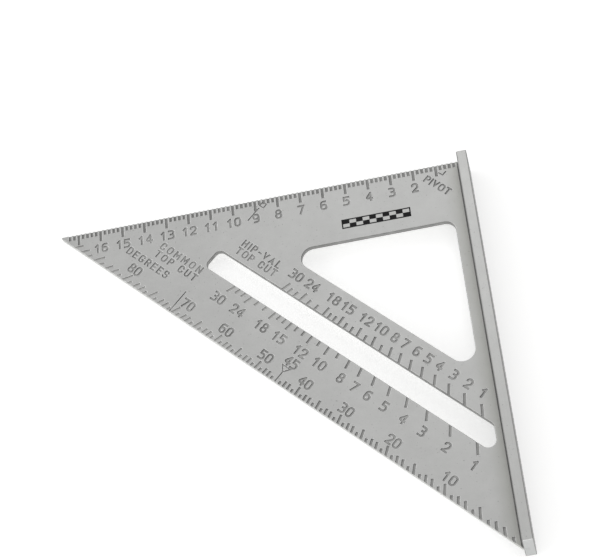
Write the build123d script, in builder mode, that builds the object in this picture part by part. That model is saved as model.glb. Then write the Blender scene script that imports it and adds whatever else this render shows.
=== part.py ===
from build123d import *
from math import atan, cos, degrees, radians, sin, sqrt
import os

# A cast aluminium speed square: a graduated triangular blade seated in a T-shaped fence.
#
# Row frame: the origin is the pivot that every ray of the scales meets at. It lies on the fence's
# inner face, just inside the ruler edge, on the blade's underside. The fence runs along -Y, the
# ruler edge runs along -X, and +Z is up. Everything is drawn on SQUARE, whose first coordinate u
# is the distance from the fence, and whose second coordinate v runs along it from the pivot.

os.makedirs("parts", exist_ok=True)

# ---------------------------------------------------------------- driving dimensions (mm)
LEG = 177.8  # from the pivot to the hypotenuse along either leg, seven inches
PIVOT_INSET = 0.5  # how far the ruler edge stands outside the pivot
BLADE_THICKNESS = 2.5
FENCE_THICKNESS = 4.4
FENCE_ABOVE = 8.0  # fence height above the blade's top face
FENCE_BELOW = 6.5  # fence height below the blade's underside
FENCE_ROUND = 0.5  # rounding of the fence's outer edges
TONGUE = 2.0  # depth of the blade's edge in the fence's groove
MOUTH = 0.4  # chamfer at the groove's mouth
RELIEF_WIDTH = 0.6  # burr relief in the blade beside the fence
RELIEF_DEPTH = 0.45
TIP_ROUND = 0.25
EDGE_BREAK = 0.25  # chamfer round the window and the slot

# Window and slot: the slanted sides are lines of constant u + v, parallel to the hypotenuse
WINDOW_NEAR_RULER = 28.2
WINDOW_NEAR_FENCE = 5.6
WINDOW_SLANT = 108.3
WINDOW_ROUND = 5.5
WINDOW_CORNER_ROUND = 4.5
SLOT_NEAR_FENCE = 3.4
SLOT_INNER = 128.0  # u + v along the slot's side towards the pivot
SLOT_OUTER = 142.2  # u + v along the slot's side towards the hypotenuse
SLOT_END = 87.0  # u - v along the slot's far end
SLOT_END_ROUND = 2.8
SLOT_FENCE_ROUND = 3.2

# Marks sunk in the blade's top face
MARK_DEPTH = 0.45  # ticks
LETTER_DEPTH = 0.3  # numbers, titles and guide marks
OVERCUT = 1.5  # how far a mark runs past the edge that it starts from
RULER_STEP = 2
RULER_LAST = 174  # the last tick before the tip
RULER_NUMBERS = range(2, 17)  # the centimetres that are numbered
RULER_TICK_WIDTH = 1.2
RULER_SHORT = 2.1
RULER_LONG = 5.0
RAY_TICK_WIDTH = 1.1
DEGREE_SHORT = 1.6  # depths square to the hypotenuse
DEGREE_MEDIUM = 2.8
DEGREE_LONG = 4.0
RAFTER_SHORT = 2.7  # depths square to the slot's side
RAFTER_LONG = 4.2
RULER_LABEL_V = 8.7  # centre line of the ruler's numbers
DEGREE_LABEL_DEPTH = 6.8  # from the hypotenuse to the centre line of its numbers
DEGREE_45_DEPTH = 10.7
RAFTER_LABEL_DEPTH = 8.5  # from the slot's side to the centre line of its numbers
DIGIT_STROKE = 0.95
DIGIT_SIZE = 1.12
DIGIT_GAP = 0.35
LEGEND_STROKE = 0.78
LEGEND_SIZE = 0.88
END_OVERHANG = 0.45  # how far an open stroke runs past its last point, in stroke widths
GUIDE_STROKE = 0.55
GUIDE_DIFFERENCE = 84.7  # u - v along the guide line, which is square to the hypotenuse
GUIDE_OUTER = 11.3  # length of its stretch at the hypotenuse
GUIDE_INNER = (3.6, 9.1)  # v at the ends of its stretch near the ruler
DIAMOND = (86.4, 2.5, 1.5)  # u, v and half-diagonal of the small diamond at its foot
ARROW_NECK = 5.3  # the 45 degree arrow, by depth from the hypotenuse
ARROW_BASE = 7.9
ARROW_HALF_WIDTH = 2.1
PIVOT_ARROW = (7.4, 4.9, 1.6)  # u and v at its point, and its half-width

ROOT2 = sqrt(2)
RUN = 12  # inches of run that the common rafter scale counts its rise against
HIP_RUN = 17  # inches of diagonal run that the hip and valley scale counts against
RAFTER_MARKS = [*range(1, 19), *range(20, 31, 2)]
RAFTER_LABELLED = [*range(1, 9), 10, 12, 15, 18, 24, 30]
CENTRE = 45  # the degree that the arrow marks in place of a tick
DEGREE_MARKS = [degree for degree in range(1, 89) if degree != CENTRE]
DEGREE_LABELLED = [*range(10, 90, 10), CENTRE]
# how far some numbers stand along their reading direction from the rays that they name
DEGREE_SHIFTS = {10: 2.2, 20: 2.0, 30: 1.2, 40: 0.8, CENTRE: 0.5, 60: -0.8, 70: 0.7, 80: -3.1}
COMMON_SHIFTS = {1: -2.2, 2: -1.5, 3: -1.0, 7: 0.5, 8: 0.3, 10: 0.6, 12: 0.3, 15: 0.6, 18: 0.5,
                 24: 1.5, 30: 1.0}
HIP_SHIFTS = {1: 1.5, 2: 2.3, 3: 2.5, 4: 1.8, 5: 2.2, 6: 1.7, 7: 0.5, 10: 0.8, 15: -0.8, 18: -1.2,
              24: -1.3, 30: -1.4}

SQUARE = Plane(origin=(0, 0, 0), x_dir=(-1, 0, 0), z_dir=(0, 0, 1))
BLADE_TOP = SQUARE.offset(BLADE_THICKNESS)
ALONG_RULER = 180  # reading direction of the ruler's numbers, in degrees on SQUARE
ALONG_SLANT = 135  # reading direction of everything parallel to the hypotenuse

# ---------------------------------------------------------------- single-stroke lettering
# Each character has a width, then its strokes: a corner radius, whether it closes, and points.
CAP = 3.4  # height of a character's centre lines at size 1
GLYPHS = {
    "0": (2.0, [(0.95, True, [(0, 0), (2.0, 0), (2.0, 3.4), (0, 3.4)])]),
    "1": (2.0, [(0, False, [(1.2, 0), (1.2, 3.4)]), (0, False, [(0.35, 2.6), (1.0, 3.15)])]),
    "2": (2.0, [(0.75, False, [(0, 2.6), (0, 3.4), (2.0, 3.4), (2.0, 1.9), (0.3, 0.2)]),
                (0, False, [(0.1, 0), (2.0, 0)])]),
    "3": (2.0, [(0.75, False, [(0.1, 3.4), (1.9, 3.4), (1.9, 1.8), (0.8, 1.8)]),
                (0.8, False, [(0.8, 1.8), (2.0, 1.8), (2.0, 0), (0, 0)])]),
    "4": (2.0, [(0, False, [(1.6, 0), (1.6, 3.4)]),
                (0.45, False, [(1.45, 3.2), (-0.35, 0.9), (2.1, 0.9)])]),
    "5": (2.0, [(0, False, [(1.9, 3.4), (0.1, 3.4), (0.1, 2.0)]),
                (0.9, False, [(0.1, 2.0), (2.0, 2.0), (2.0, 0), (0, 0)])]),
    "6": (2.0, [(0.9, True, [(0, 0), (2.0, 0), (2.0, 2.0), (0, 2.0)]),
                (1.0, False, [(0, 1.2), (0, 3.4), (1.7, 3.4)])]),
    "7": (2.0, [(0, False, [(0, 3.4), (2.0, 3.4), (0.7, 0)])]),
    "8": (2.0, [(0.8, True, [(0, 0), (2.0, 0), (2.0, 1.8), (0, 1.8)]),
                (0.7, True, [(0.15, 1.8), (1.85, 1.8), (1.85, 3.4), (0.15, 3.4)])]),
    "9": (2.0, [(0.9, True, [(0, 1.4), (2.0, 1.4), (2.0, 3.4), (0, 3.4)]),
                (1.0, False, [(2.0, 2.2), (2.0, 0), (0.3, 0)])]),
    "A": (2.4, [(0, False, [(0, 0), (1.2, 2.7), (2.4, 0)]), (0, False, [(0.8, 0.7), (1.6, 0.7)])]),
    "C": (2.1, [(0.9, False, [(2.1, 2.5), (2.1, 3.4), (0, 3.4), (0, 0), (2.1, 0), (2.1, 0.9)])]),
    "D": (2.2, [(0, False, [(0, 0), (0, 3.4)]),
                (1.0, False, [(0, 3.4), (2.2, 3.4), (2.2, 0), (0, 0)])]),
    "E": (1.9, [(0, False, [(1.9, 3.4), (0, 3.4), (0, 0), (1.9, 0)]),
                (0, False, [(0, 1.7), (1.5, 1.7)])]),
    "G": (2.2, [(0.8, False, [(2.2, 2.6), (2.2, 3.4), (0, 3.4), (0, 0), (2.2, 0), (2.2, 1.2)]),
                (0, False, [(2.2, 1.4), (1.4, 1.4)])]),
    "H": (2.1, [(0, False, [(0, 0), (0, 3.4)]), (0, False, [(2.1, 0), (2.1, 3.4)]),
                (0, False, [(0, 1.7), (2.1, 1.7)])]),
    "I": (0.0, [(0, False, [(0, 0), (0, 3.4)])]),
    "L": (1.8, [(0, False, [(0, 3.4), (0, 0), (1.8, 0)])]),
    "M": (2.7, [(0, False, [(0, 0), (0, 3.4)]), (0, False, [(2.7, 0), (2.7, 3.4)]),
                (0, False, [(0.2, 3.1), (1.35, 1.2), (2.5, 3.1)])]),
    "N": (2.2, [(0, False, [(0, 0), (0, 3.4)]), (0, False, [(2.2, 0), (2.2, 3.4)]),
                (0, False, [(0.2, 3.1), (2.0, 0.3)])]),
    "O": (2.4, [(1.1, True, [(0, 0), (2.4, 0), (2.4, 3.4), (0, 3.4)])]),
    "P": (2.0, [(0, False, [(0, 0), (0, 3.4)]),
                (0.8, False, [(0, 3.4), (2.0, 3.4), (2.0, 1.6), (0, 1.6)])]),
    "R": (2.1, [(0, False, [(0, 0), (0, 3.4)]),
                (0.8, False, [(0, 3.4), (2.0, 3.4), (2.0, 1.6), (0, 1.6)]),
                (0, False, [(1.2, 1.45), (2.0, 0.15)])]),
    "S": (2.1, [(0.55, False, [(2.0, 2.8), (2.0, 3.4), (0.1, 3.4), (0.1, 1.75), (2.1, 1.75),
                               (2.1, 0), (0, 0), (0, 0.6)])]),
    "T": (2.2, [(0, False, [(0, 3.4), (2.2, 3.4)]), (0, False, [(1.1, 3.4), (1.1, 0)])]),
    "U": (2.1, [(1.0, False, [(0, 3.4), (0, 0), (2.1, 0), (2.1, 3.4)])]),
    "V": (2.4, [(0, False, [(0, 3.4), (1.2, 0.7), (2.4, 3.4)])]),
    "-": (1.2, [(0, False, [(0, 1.7), (1.2, 1.7)])]),
    " ": (0.8, []),
}


def square_ended(points, overhang):
    """The points of an open stroke, with both its ends run on by overhang."""
    points = [Vector(*p) for p in points]
    first = points[0] + (points[0] - points[1]).normalized() * overhang
    last = points[-1] + (points[-1] - points[-2]).normalized() * overhang
    return [first, *points[1:-1], last]


def solid_length(text, stroke, size=1.0):
    """The length of a line of characters without the gaps between them."""
    return sum(GLYPHS[character][0] * size + stroke for character in text)


def lettering(text, stroke, gap, size=1.0):
    """A line of characters centred on the origin, reading along +X."""
    length = solid_length(text, stroke, size) + gap * (len(text) - 1)
    cursor = (stroke - length) / 2
    with BuildSketch() as line_of_text:
        for character in text:
            width, strokes = GLYPHS[character]
            for corner, closed, points in strokes:
                route = [(cursor + x * size, (y - CAP / 2) * size) for x, y in points]
                if not closed:
                    route = square_ended(route, END_OVERHANG * stroke)
                with BuildLine():
                    if corner:
                        FilletPolyline(*route, radius=corner * size, close=closed)
                    else:
                        Polyline(*route, close=closed)
                trace(line_width=stroke)
            cursor += width * size + stroke + gap
    return line_of_text.sketch


def number(value):
    return lettering(str(value), DIGIT_STROKE, DIGIT_GAP, DIGIT_SIZE)


def legend(text, length):
    """A scale's title, its characters spaced to fill this length."""
    gap = (length - solid_length(text, LEGEND_STROKE, LEGEND_SIZE)) / (len(text) - 1)
    return lettering(text, LEGEND_STROKE, gap, LEGEND_SIZE)


# ---------------------------------------------------------------- places on the blade
def on_ray(angle, total):
    """Where the ray at this angle from the fence meets the line u + v = total."""
    reach = total / (sin(radians(angle)) + cos(radians(angle)))
    return reach * sin(radians(angle)), reach * cos(radians(angle))


def rafter_angle(rise, run):
    """The ray's angle from the fence, in degrees, for this rise on this run."""
    return degrees(atan(rise / run))


def ray_tick(angle, total, depth):
    """Draw a tick on the ray from the line u + v = total; a negative depth runs to the pivot."""
    slant = cos(radians(angle - CENTRE))
    inward = -OVERCUT if depth > 0 else OVERCUT
    start, end = (total + ROOT2 * d for d in (inward, depth))
    u, v = on_ray(angle, (start + end) / 2)
    length = abs(end - start) / ROOT2 / slant
    with Locations(Location((u, v, 0), (0, 0, 90 - angle))):
        Rectangle(length, RAY_TICK_WIDTH)


def degree_depth(degree):
    """The depth of a degree's tick: fives are long, and the two beside each ten stand apart."""
    off_five = min(degree % 5, 5 - degree % 5)
    return (DEGREE_LONG, DEGREE_SHORT, DEGREE_MEDIUM)[off_five]


# ---------------------------------------------------------------- lettering in its place
def placed(sketch, u, v, direction):
    """Lettering with the place of its centre and its reading direction."""
    return sketch, Location((u, v, 0), (0, 0, direction))


def ray_labels(angles, total, shifts):
    """Numbers where their rays meet the line u + v = total, some of them shifted along it."""
    labels = []
    for value, angle in angles.items():
        u, v = on_ray(angle, total)
        shift = shifts.get(value, 0) / ROOT2
        labels.append(placed(number(value), u - shift, v + shift, ALONG_SLANT))
    return labels


def rafter_labels(total, run, depth, shifts):
    """The numbers of one rafter scale, beside the slot's side u + v = total."""
    angles = {rise: rafter_angle(rise, run) for rise in RAFTER_LABELLED}
    return ray_labels(angles, total + ROOT2 * depth, shifts)


def degree_labels():
    """The numbers of the degree scale; the 45 stands apart, beyond its arrow."""
    tens = {degree: degree for degree in DEGREE_LABELLED if degree != CENTRE}
    return [
        *ray_labels(tens, LEG - ROOT2 * DEGREE_LABEL_DEPTH, DEGREE_SHIFTS),
        *ray_labels({CENTRE: CENTRE}, LEG - ROOT2 * DEGREE_45_DEPTH, DEGREE_SHIFTS),
    ]


RULER_LABELS = [placed(number(cm), 10 * cm, RULER_LABEL_V, ALONG_RULER) for cm in RULER_NUMBERS]
# each title with its length, then where its centre stands
LEGENDS = [
    placed(legend("DEGREES", 24.2), 139.3, 20.6, ALONG_SLANT),
    placed(legend("COMMON", 24.0), 124.3, 21.5, ALONG_SLANT),
    placed(legend("TOP CUT", 24.0), 127.0, 24.8, ALONG_SLANT),
    placed(legend("HIP-VAL", 21.5), 89.0, 27.2, ALONG_SLANT),
    placed(legend("TOP CUT", 22.5), 91.8, 30.4, ALONG_SLANT),
    placed(legend("PIVOT", 13.6), 10.2, 9.6, ALONG_SLANT),
]
ALL_LETTERING = [
    *RULER_LABELS,
    *degree_labels(),
    *rafter_labels(SLOT_OUTER, RUN, RAFTER_LABEL_DEPTH, COMMON_SHIFTS),
    *rafter_labels(SLOT_INNER, HIP_RUN, -RAFTER_LABEL_DEPTH, HIP_SHIFTS),
    *LEGENDS,
]


# ---------------------------------------------------------------- guide marks
def from_corner(depth, offset):
    """A point on the 45 degree ray: its depth from the hypotenuse and its offset along it."""
    return (LEG / 2 - (depth - offset) / ROOT2, LEG / 2 - (depth + offset) / ROOT2)


def guide_point(v):
    """The point of the guide line at this v."""
    return (GUIDE_DIFFERENCE + v, v)


def guide_routes():
    """The centre lines of the guide marks, each with whether it closes."""
    edge_v = (LEG - GUIDE_DIFFERENCE) / 2
    run_off = OVERCUT / ROOT2
    u, v, half = DIAMOND
    arrow_u, arrow_v, wing = PIVOT_ARROW
    base = [from_corner(ARROW_BASE, side * ARROW_HALF_WIDTH) for side in (1, -1)]
    return [
        ([guide_point(edge_v + run_off), guide_point(edge_v - GUIDE_OUTER / ROOT2)], False),
        ([guide_point(end) for end in GUIDE_INNER], False),
        ([(u - half, v), (u, v - half), (u + half, v), (u, v + half)], True),
        ([from_corner(-OVERCUT, 0), from_corner(ARROW_NECK, 0)], False),
        ([from_corner(ARROW_NECK, 0), *base], True),
        ([(arrow_u - wing, arrow_v - wing), (arrow_u, arrow_v), (arrow_u + wing, arrow_v - wing)], False),
    ]


GUIDE_ROUTES = guide_routes()

# ---------------------------------------------------------------- fence
with BuildPart() as fence:
    with BuildSketch(SQUARE.offset(-FENCE_BELOW)):
        with Locations((-FENCE_THICKNESS, -PIVOT_INSET)):
            Rectangle(FENCE_THICKNESS, LEG + PIVOT_INSET, align=(Align.MIN, Align.MIN))
    extrude(amount=FENCE_BELOW + BLADE_THICKNESS + FENCE_ABOVE)
    fillet(fence.edges(), FENCE_ROUND)
    # the groove that holds the blade's tongue, with a chamfered mouth
    groove_plane = Plane(origin=(0, OVERCUT, BLADE_THICKNESS / 2), x_dir=(-1, 0, 0), z_dir=(0, -1, 0))
    with BuildSketch(groove_plane) as groove:
        Rectangle(2 * TONGUE, BLADE_THICKNESS)
        for side in (1, -1):
            edge = side * BLADE_THICKNESS / 2
            with BuildLine():
                Polyline((-MOUTH, edge), (0, edge + side * MOUTH), (MOUTH, edge), close=True)
            make_face()
    extrude(amount=LEG + 2 * OVERCUT, mode=Mode.SUBTRACT)
fence.part.label = "fence"

# ---------------------------------------------------------------- blade
with BuildPart() as blade:
    with BuildSketch(SQUARE) as outline:
        with BuildLine():
            tip = (LEG + PIVOT_INSET, -PIVOT_INSET)
            Polyline((-TONGUE, -PIVOT_INSET), tip, (0, LEG), (-TONGUE, LEG), close=True)
        make_face()
        fillet(outline.vertices().sort_by(Axis.X)[-1], TIP_ROUND)
    extrude(amount=BLADE_THICKNESS)

    # the triangular window
    with BuildSketch(SQUARE) as window:
        near, side, slant = WINDOW_NEAR_RULER, WINDOW_NEAR_FENCE, WINDOW_SLANT
        with BuildLine():
            FilletPolyline(
                (side, near),
                (slant - near, near),
                (side, slant - side),
                radius=[WINDOW_CORNER_ROUND, WINDOW_ROUND, WINDOW_ROUND],
                close=True,
            )
        make_face()
    extrude(amount=BLADE_THICKNESS, mode=Mode.SUBTRACT)

    # the slot: square at its far end, cut parallel to the fence at its near end
    with BuildSketch(SQUARE) as slot:
        far_inner = (SLOT_INNER + SLOT_END) / 2
        far_outer = (SLOT_OUTER + SLOT_END) / 2
        with BuildLine():
            FilletPolyline(
                (far_inner, SLOT_INNER - far_inner),
                (far_outer, SLOT_OUTER - far_outer),
                (SLOT_NEAR_FENCE, SLOT_OUTER - SLOT_NEAR_FENCE),
                (SLOT_NEAR_FENCE, SLOT_INNER - SLOT_NEAR_FENCE),
                radius=[SLOT_END_ROUND, SLOT_END_ROUND, SLOT_FENCE_ROUND, SLOT_FENCE_ROUND],
                close=True,
            )
        make_face()
    extrude(amount=BLADE_THICKNESS, mode=Mode.SUBTRACT)

    # broken edges round both openings, on both faces
    inside = [e for f in blade.faces().filter_by(Axis.Z) for w in f.inner_wires() for e in w.edges()]
    chamfer(inside, EDGE_BREAK)

    # burr relief beside the fence, on both faces
    with BuildSketch(SQUARE, BLADE_TOP) as relief:
        with Locations((0, -OVERCUT)):
            Rectangle(RELIEF_WIDTH, LEG + 2 * OVERCUT, align=(Align.MIN, Align.MIN))
    extrude(amount=RELIEF_DEPTH, both=True, mode=Mode.SUBTRACT)

    # ruler scale
    with BuildSketch(BLADE_TOP):
        for distance in range(RULER_STEP, RULER_LAST + 1, RULER_STEP):
            reach = RULER_LONG if distance % 10 == 0 else RULER_SHORT
            with Locations((distance, -OVERCUT)):
                Rectangle(RULER_TICK_WIDTH, reach + OVERCUT, align=(Align.CENTER, Align.MIN))
    extrude(amount=-MARK_DEPTH, mode=Mode.SUBTRACT)

    # degree scale
    with BuildSketch(BLADE_TOP):
        for degree in DEGREE_MARKS:
            ray_tick(degree, LEG, -degree_depth(degree))
    extrude(amount=-MARK_DEPTH, mode=Mode.SUBTRACT)

    # rafter scales on both sides of the slot
    with BuildSketch(BLADE_TOP):
        for rise in RAFTER_MARKS:
            depth = RAFTER_LONG if rise in RAFTER_LABELLED else RAFTER_SHORT
            ray_tick(rafter_angle(rise, RUN), SLOT_OUTER, depth)
            ray_tick(rafter_angle(rise, HIP_RUN), SLOT_INNER, -depth)
    extrude(amount=-MARK_DEPTH, mode=Mode.SUBTRACT)

    # guide line square to the hypotenuse, the arrow at 45 degrees, and the arrow at the pivot
    with BuildSketch(BLADE_TOP):
        for route, closed in GUIDE_ROUTES:
            with BuildLine():
                Polyline(*route, close=closed)
            trace(line_width=GUIDE_STROKE)
    extrude(amount=-LETTER_DEPTH, mode=Mode.SUBTRACT)

    # numbers and scale titles
    with BuildSketch(BLADE_TOP):
        add([sketch.moved(place) for sketch, place in ALL_LETTERING])
    extrude(amount=-LETTER_DEPTH, mode=Mode.SUBTRACT)
blade.part.label = "blade"

for piece in (fence, blade):
    export_step(piece.part, f"parts/{piece.part.label}.step")
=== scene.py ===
from math import radians

import bmesh
import bpy
from mathutils import Matrix, Vector

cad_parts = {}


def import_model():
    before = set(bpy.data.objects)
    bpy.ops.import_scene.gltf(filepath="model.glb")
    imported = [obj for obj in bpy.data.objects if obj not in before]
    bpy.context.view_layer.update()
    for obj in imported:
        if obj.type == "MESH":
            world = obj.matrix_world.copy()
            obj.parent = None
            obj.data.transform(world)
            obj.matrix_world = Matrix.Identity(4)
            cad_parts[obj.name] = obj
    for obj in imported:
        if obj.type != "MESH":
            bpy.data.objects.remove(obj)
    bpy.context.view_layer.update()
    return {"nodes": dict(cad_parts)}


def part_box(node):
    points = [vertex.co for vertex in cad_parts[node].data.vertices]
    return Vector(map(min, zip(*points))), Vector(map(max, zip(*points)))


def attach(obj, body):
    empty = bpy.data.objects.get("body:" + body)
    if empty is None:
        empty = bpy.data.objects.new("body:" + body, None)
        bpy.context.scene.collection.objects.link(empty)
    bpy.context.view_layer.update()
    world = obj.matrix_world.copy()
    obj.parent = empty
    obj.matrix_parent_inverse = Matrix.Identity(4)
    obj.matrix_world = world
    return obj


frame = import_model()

# A cast aluminium speed square, laid on a pale table. Everything is in metres in the row frame:
# the origin is the pivot on the blade's underside, just inside the ruler edge, the fence runs
# along -Y, the ruler edge along -X, and +Z is up out of the graduated face.

BLADE_LOW, BLADE_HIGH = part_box("blade")
FENCE_LOW, FENCE_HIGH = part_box("fence")
MM = 0.001

# places on the blade; x + y is the same all along a line that is parallel to the slanted edge
BLADE_TOP = BLADE_HIGH.z
RULER_EDGE = BLADE_HIGH.y
SLANT_REACH = BLADE_LOW.y
SLOT_REACH = -135.1 * MM  # the slot's centre line
SLOT_SIDE = 7.1 * MM  # from that line to the slot's sides, in x + y
SLOT_TICKS = 14.5 * MM  # and to just past the ticks that start there
SLANT_TICKS = 5.4 * MM  # from the slanted edge to about the ends of its long ticks, in x + y
RULER_TICKS = 5.4 * MM  # from the pivot to just past the ruler's long ticks, in y
LETTER_DEPTH = 0.30 * MM
TICK_DEPTH = 0.45 * MM

# camera
CAMERA_PLACE = Vector((20.1, -420.2, 630.1)) * MM
CAMERA_TARGET = Vector((-73.8, -42.7, 2.5)) * MM
CAMERA_ROLL = 22.54  # degrees
LENS = 104.8  # millimetres, as is the sensor's width
SENSOR = 36.0

# lighting: each softbox has a name, a place, a width and height in metres, and a power in watts
SOFTBOXES = (
    ("low_left", (-1.35, 0.10, 0.62), (2.2, 0.8), 5.6),
    ("front", (-0.05, -1.20, 0.40), (0.6, 0.3), 2.4),
    ("overhead", (0.10, 0.60, 0.85), (0.6, 0.6), 0.9),
)
SKY_STRENGTH = 0.57
TABLE_GLOW = 0.45  # a faint glow of the table, so that the shadows on it stay faint
TABLE_SIZE = 8


# ---------------------------------------------------------------- node helpers
class Nodes:
    """A material's node tree, with short ways to add and join nodes."""

    def __init__(self, name):
        self.material = bpy.data.materials.new(name)
        self.material.use_nodes = True
        self.tree = self.material.node_tree
        self.shader = self.tree.nodes["Principled BSDF"]
        self.place = self.add("ShaderNodeTexCoord").outputs["Object"]

    def add(self, kind, inputs=None, **settings):
        node = self.tree.nodes.new(kind)
        for key, value in settings.items():
            setattr(node, key, value)
        for key, value in (inputs or {}).items():
            self.feed(node, key, value)
        return node

    def feed(self, node, key, value):
        if isinstance(value, bpy.types.NodeSocket):
            self.tree.links.new(value, node.inputs[key])
        else:
            node.inputs[key].default_value = value

    def stretched(self, scale):
        """The object coordinates times a scale for each axis."""
        return self.add("ShaderNodeMapping", {"Vector": self.place, "Scale": scale}).outputs[0]

    def noise(self, scale, detail=2.0, roughness=0.5, vector=None):
        inputs = {"Vector": vector or self.place, "Scale": scale}
        inputs.update({"Detail": detail, "Roughness": roughness})
        return self.add("ShaderNodeTexNoise", inputs).outputs["Fac"]

    def remap(self, value, low, high, to_low=0.0, to_high=1.0, smooth=False):
        inputs = {"Value": value, "From Min": low, "From Max": high, "To Min": to_low, "To Max": to_high}
        kind = "SMOOTHSTEP" if smooth else "LINEAR"
        return self.add("ShaderNodeMapRange", inputs, interpolation_type=kind).outputs[0]

    def math(self, operation, first, second=0.0):
        return self.add("ShaderNodeMath", {0: first, 1: second}, operation=operation).outputs[0]

    def times(self, first, *others):
        for other in others:
            first = self.math("MULTIPLY", first, other)
        return first

    def rest(self, value):
        """What is left of 1."""
        return self.math("SUBTRACT", 1.0, value)

    def mix(self, factor, first, second, blend="MIX"):
        node = self.add("ShaderNodeMix", {"Factor": factor}, data_type="RGBA", blend_type=blend)
        colours = [s for s in node.inputs if s.type == "RGBA"]
        for socket, value in zip(colours, (first, second)):
            if isinstance(value, bpy.types.NodeSocket):
                self.tree.links.new(value, socket)
            else:
                socket.default_value = value
        return next(s for s in node.outputs if s.type == "RGBA")

    def bump(self, height, distance, strength=1.0, normal=None):
        inputs = {"Height": height, "Distance": distance, "Strength": strength}
        if normal is not None:
            inputs["Normal"] = normal
        return self.add("ShaderNodeBump", inputs).outputs[0]


# ---------------------------------------------------------------- materials
WEAR_AND_HIGHLIGHT = (0.93, 0.93, 0.925, 1)  # an edge rubbed to bare metal, and a painted highlight on edges
PIT = (0.12, 0.12, 0.115, 1)
# the dark of the painted shade in the marks' corners
PAINTED_SHADE = (0.06, 0.06, 0.058, 1)
GRAIN_HEIGHT = 0.04 * MM
ALONG_FENCE = (2400, 60, 2400)  # noise cells for each metre: long in Y, so that it makes streaks


class Aluminium(Nodes):
    """Satin cast aluminium: fine grain, faint cloudiness, small pits, and edges painted bright as rubbed
    metal and painted highlight.
    """

    def __init__(self, name, tint, edge_radius):
        super().__init__(name)
        axes = self.add("ShaderNodeSeparateXYZ", {0: self.place})
        self.x, self.y, self.z = axes.outputs
        facing = self.add("ShaderNodeSeparateXYZ", {0: self.place.node.outputs["Normal"]})
        self.facing_x, self.facing_y, self.facing_z = facing.outputs

        clouds = self.noise(scale=45, detail=3)
        self.patches = self.noise(scale=260, detail=3)
        self.grain = self.noise(scale=2600, detail=3, roughness=0.65)
        self.pits = self.remap(self.noise(scale=1300, detail=1), 0.70, 0.78, smooth=True)
        shade = self.remap(clouds, 0.3, 0.7, 0.97, 1.03)
        shade = self.math("ADD", shade, self.remap(self.patches, 0.3, 0.7, -0.02, 0.02))
        shade = self.math("ADD", shade, self.remap(self.grain, 0.3, 0.7, -0.03, 0.03))
        self.colour = self.tinted(tint, shade)
        self.blend_in(self.times(self.pits, 0.35), PIT)

        # where the rounded normal leaves the true one, there is an edge
        self.rounded = self.add("ShaderNodeBevel", {"Radius": edge_radius}, samples=8).outputs[0]
        true = self.add("ShaderNodeNewGeometry").outputs["Normal"]
        same = self.add("ShaderNodeVectorMath", {0: self.rounded, 1: true}, operation="DOT_PRODUCT")
        self.same = same.outputs["Value"]
        self.edge = self.remap(self.same, 0.999, 0.90, smooth=True)

    def tinted(self, colour, shade):
        grey = self.add("ShaderNodeCombineColor", {0: shade, 1: shade, 2: shade}).outputs[0]
        return self.mix(1.0, colour, grey, "MULTIPLY")

    def blend_in(self, factor, colour):
        """Lay another colour over what is there."""
        self.colour = self.mix(factor, self.colour, colour)

    def upright(self):
        """1 on the faces that stand upright."""
        return self.remap(self.math("ABSOLUTE", self.facing_z), 0.75, 0.35, smooth=True)

    def skin(self, dark, light):
        """The as-cast skin's tone, used also for painted shade on walls and in hollows."""
        grey = self.remap(self.patches, 0.3, 0.7, dark, light)
        return self.tinted((1.0, 1.0, 0.98, 1), grey)

    def finish(self, rough):
        self.feed(self.shader, "Base Color", self.colour)
        self.feed(self.shader, "Roughness", rough)
        self.shader.inputs["Metallic"].default_value = 0.85
        height = self.math("SUBTRACT", self.grain, self.times(self.pits, 0.8))
        self.feed(self.shader, "Normal", self.bump(height, GRAIN_HEIGHT, 0.55, self.rounded))
        return self.material


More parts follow.
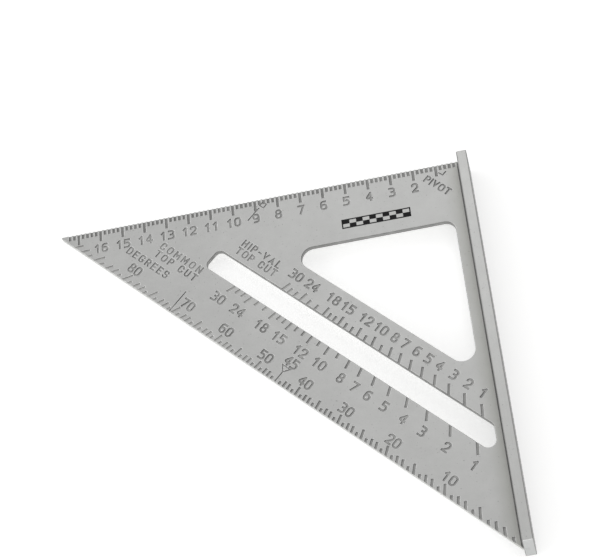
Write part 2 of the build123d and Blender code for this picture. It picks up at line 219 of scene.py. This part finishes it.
class Blade(Aluminium):
    """The blade's metal, which changes with the place on it and the depth below its top face."""

    def __init__(self):
        super().__init__("blade_cast_aluminium", (0.62, 0.622, 0.612, 1), 0.45 * MM)
        self.reach = self.math("ADD", self.x, self.y)
        below = self.math("SUBTRACT", BLADE_TOP, self.z)
        above_underside = self.remap(below, TICK_DEPTH + 0.30 * MM, TICK_DEPTH + 0.10 * MM)
        self.sunk = self.remap(below, 0.05 * MM, 0.12 * MM)
        self.marks = self.times(self.sunk, above_underside)
        # the ticks are cut deeper than the letters
        on_tick_floor = self.remap(below, LETTER_DEPTH + 0.04 * MM, TICK_DEPTH - 0.03 * MM)
        self.ticks = self.times(on_tick_floor, above_underside)
        self.by_ruler = self.remap(self.y, -RULER_TICKS - 0.2 * MM, -RULER_TICKS + 0.2 * MM)
        towards_fence = self.math("DIVIDE", self.math("SUBTRACT", self.y, self.x), self.reach)
        self.tipward = self.remap(towards_fence, 0.15, -0.30, smooth=True)

    def from_slant(self, far, near):
        """1 nearer to the slanted edge than near and 0 beyond far, both in x + y."""
        return self.remap(self.reach, SLANT_REACH + far, SLANT_REACH + near)

    def shade_beside_fence(self):
        """Painted shade in the corner beside the fence: a little duller and warmer."""
        shaded_corner = self.remap(self.x, -9 * MM, 0, smooth=True)
        self.blend_in(self.times(shaded_corner, 0.55), (0.475, 0.478, 0.435, 1))

    def rim_highlights(self):
        """The rims of marks and openings are painted brightest, as rubbed metal and painted highlight;
        the blade's outline hardly.
        """
        by_ruler_edge = self.remap(self.y, RULER_EDGE - 0.75 * MM, RULER_EDGE - 0.55 * MM)
        outline = self.math("MAXIMUM", by_ruler_edge, self.from_slant(1.05 * MM, 0.80 * MM))
        shine = self.remap(outline, 0.0, 1.0, 0.9, 0.15)
        self.blend_in(self.times(self.edge, self.rest(self.sunk), shine), WEAR_AND_HIGHLIGHT)

    def floors(self):
        """The marks' floors get the cast skin's tone and painted shade; the ruler's ticks are the
        darkest, and those on the rays are painted paler past 45 degrees, where the light runs along
        them.
        """
        self.blend_in(self.times(self.marks, 0.85), self.skin(0.32, 0.54))
        on_rays = self.mix(self.tipward, self.skin(0.43, 0.51), self.skin(0.60, 0.66))
        self.blend_in(self.ticks, self.mix(self.by_ruler, on_rays, self.skin(0.33, 0.42)))

    def shade_share(self):
        """Where walls and corners get painted shade: 0 on the slanted edge and low on the paled ticks'
        walls, 1 elsewhere.
        """
        off_slot = self.math("ABSOLUTE", self.math("SUBTRACT", self.reach, SLOT_REACH))
        past_side = self.remap(off_slot, SLOT_SIDE + 0.2 * MM, SLOT_SIDE + 0.4 * MM)
        by_slot = self.times(past_side, self.remap(off_slot, SLOT_TICKS + 0.5 * MM, SLOT_TICKS))
        by_slant = self.from_slant(SLANT_TICKS + 0.4 * MM, SLANT_TICKS)
        among_ticks = self.math("MAXIMUM", by_slot, by_slant)
        pale = self.times(among_ticks, self.rest(self.by_ruler), self.tipward)
        unshaded = self.math("MAXIMUM", self.from_slant(0.35 * MM, 0.15 * MM), self.times(pale, 0.75))
        return self.rest(unshaded)

    def mark_shade(self):
        """Painted shade in the marks' corners, uneven, and more on the side that faces away from the
        light.
        """
        speckle = self.remap(self.noise(scale=1400, detail=2), 0.38, 0.58, 0.55, 1.0, smooth=True)
        lean = self.add("ShaderNodeSeparateXYZ", {0: self.rounded}).outputs["X"]
        shaded_side = self.remap(lean, -0.15, 0.15, 0.15, 1.0)
        shaded_corner = self.remap(self.same, 0.9999, 0.96, smooth=True)
        less_on_ticks = self.remap(self.ticks, 0.0, 1.0, 1.0, 0.45)
        return self.times(shaded_corner, self.marks, speckle, shaded_side, less_on_ticks)

    def sawn_tongue(self):
        """The end of the tongue is sawn off flush with the fence's end."""
        self.blend_in(self.remap(self.x, -0.05 * MM, 0.05 * MM), (0.50, 0.51, 0.505, 1))


def blade_material():
    blade = Blade()
    blade.shade_beside_fence()
    blade.rim_highlights()
    blade.floors()
    shade_share = blade.shade_share()
    # painted shade on the upright walls of marks and openings
    blade.blend_in(blade.times(blade.upright(), shade_share, 0.8), blade.skin(0.17, 0.27))
    # painted shade in the marks' corners, darker on their shadow side
    blade.blend_in(blade.times(blade.mark_shade(), shade_share), PAINTED_SHADE)
    blade.sawn_tongue()
    rough = blade.remap(blade.grain, 0.3, 0.7, 0.42, 0.52)
    return blade.finish(blade.math("ADD", rough, blade.times(blade.marks, 0.12)))


def fence_material():
    n = Aluminium("fence_cast_aluminium", (0.60, 0.602, 0.590, 1), 0.3 * MM)
    streaks = n.noise(scale=1.0, detail=2, vector=n.stretched(ALONG_FENCE))
    n.blend_in(n.remap(streaks, 0.35, 0.7, 0.0, 0.14), (0.85, 0.85, 0.84, 1))
    # the edges are painted bright as rubbed metal and painted highlight; the long sides are painted dark
    # in the cast skin's tone, as painted shade; the sawn ends are bright
    n.blend_in(n.times(n.edge, 0.4), WEAR_AND_HIGHLIGHT)
    sides = n.remap(n.math("ABSOLUTE", n.facing_x), 0.2, 0.6, smooth=True)
    n.blend_in(n.times(sides, 0.85), n.skin(0.18, 0.23))
    ends = n.remap(n.math("ABSOLUTE", n.facing_y), 0.90, 0.97, smooth=True)
    n.blend_in(n.times(ends, 0.8), (0.49, 0.50, 0.495, 1))
    return n.finish(n.remap(streaks, 0.3, 0.7, 0.38, 0.48))


def ink_material():
    """Matte black pad print, a little worn."""
    n = Nodes("black_print")
    wear = n.noise(scale=900, detail=4, roughness=0.7)
    colour = n.mix(n.remap(wear, 0.60, 0.75, 0.0, 0.5), (0.005, 0.005, 0.006, 1), (0.05, 0.05, 0.05, 1))
    n.feed(n.shader, "Base Color", colour)
    n.feed(n.shader, "Roughness", n.remap(wear, 0.3, 0.7, 0.5, 0.7))
    n.feed(n.shader, "Normal", n.bump(wear, 0.01 * MM, 0.4))
    n.shader.inputs["Specular IOR Level"].default_value = 0.25
    return n.material


def table_material():
    n = Nodes("pale_table")
    tone = n.noise(scale=6, detail=3)
    colour = n.mix(n.remap(tone, 0.3, 0.7), (0.90, 0.90, 0.895, 1), (0.92, 0.92, 0.915, 1))
    n.feed(n.shader, "Base Color", colour)
    n.shader.inputs["Roughness"].default_value = 0.8
    n.shader.inputs["Emission Color"].default_value = (1, 1, 1, 1)
    n.shader.inputs["Emission Strength"].default_value = TABLE_GLOW
    return n.material


for node, material in (("blade", blade_material()), ("fence", fence_material())):
    mesh = frame["nodes"][node].data
    mesh.materials.clear()
    mesh.materials.append(material)


# ---------------------------------------------------------------- the printed gauge bar
def prism(bm, low, high):
    """A closed box between two corners."""
    size = high - low
    place = Matrix.Translation((low + high) / 2) @ Matrix.Diagonal((*size, 1))
    bmesh.ops.create_cube(bm, size=1.0, matrix=place)


def gauge_bar():
    """A plain two-row checkered bar in a frame, printed on the blade beside the ruler."""
    length, height, line, film = 30 * MM, 4.6 * MM, 0.55 * MM, 0.03 * MM
    cells = 10
    left, low = -53.3 * MM, -22.4 * MM
    right, high = left + length, low + height
    z0, z1 = BLADE_TOP, BLADE_TOP + film
    bm = bmesh.new()
    prism(bm, Vector((left, low, z0)), Vector((right, low + line, z1)))
    prism(bm, Vector((left, high - line, z0)), Vector((right, high, z1)))
    prism(bm, Vector((left, low, z0)), Vector((left + line, high, z1)))
    prism(bm, Vector((right - line, low, z0)), Vector((right, high, z1)))
    cell = (length - 2 * line) / cells
    middle = (low + high) / 2
    for i in range(cells):
        x = left + line + i * cell
        y0, y1 = (low + line, middle) if i % 2 else (middle, high - line)
        prism(bm, Vector((x, y0, z0)), Vector((x + cell, y1, z1)))
    mesh = bpy.data.meshes.new("gauge_bar")
    bm.to_mesh(mesh)
    bm.free()
    bar = bpy.data.objects.new("gauge_bar", mesh)
    bpy.context.scene.collection.objects.link(bar)
    bar.data.materials.append(ink_material())
    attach(bar, "root")


gauge_bar()


# ---------------------------------------------------------------- table, light and camera
def table():
    """The table top: it carries the fence's lower edge and the blade's tip."""
    foot = Vector((FENCE_LOW.x, 0, FENCE_LOW.z))
    tip = Vector((BLADE_LOW.x, 0, BLADE_LOW.z))
    along = (foot - tip).normalized()
    normal = along.cross(Vector((0, 1, 0)))
    bpy.ops.mesh.primitive_plane_add(size=TABLE_SIZE, location=foot)
    top = bpy.context.object
    top.name = "table_top"
    top.rotation_mode = "QUATERNION"
    top.rotation_quaternion = normal.to_track_quat("Z", "Y")
    top.data.materials.append(table_material())


def softbox(name, place, size, power):
    """A soft rectangular light that faces the object."""
    data = bpy.data.lights.new(name, "AREA")
    data.shape = "RECTANGLE"
    data.size, data.size_y = size
    data.energy = power
    lamp = bpy.data.objects.new(name, data)
    lamp.location = place
    lamp.rotation_mode = "QUATERNION"
    lamp.rotation_quaternion = (Vector(place) - CAMERA_TARGET).to_track_quat("Z", "Y")
    bpy.context.scene.collection.objects.link(lamp)


def world():
    sky = bpy.data.worlds.new("studio")
    bpy.context.scene.world = sky
    sky.use_nodes = True
    background = sky.node_tree.nodes["Background"]
    background.inputs["Color"].default_value = (1, 1, 1, 1)
    background.inputs["Strength"].default_value = SKY_STRENGTH


def camera():
    data = bpy.data.cameras.new("camera")
    data.lens, data.sensor_width = LENS, SENSOR
    eye = bpy.data.objects.new("camera", data)
    look = (CAMERA_TARGET - CAMERA_PLACE).to_track_quat("-Z", "Y").to_matrix()
    turn = Matrix.Rotation(radians(-CAMERA_ROLL), 3, "Z")
    eye.matrix_world = Matrix.Translation(CAMERA_PLACE) @ (look @ turn).to_4x4()
    bpy.context.scene.collection.objects.link(eye)
    bpy.context.scene.camera = eye


table()
world()
for lamp in SOFTBOXES:
    softbox(*lamp)
camera()
bpy.context.scene.view_settings.view_transform = "Standard"
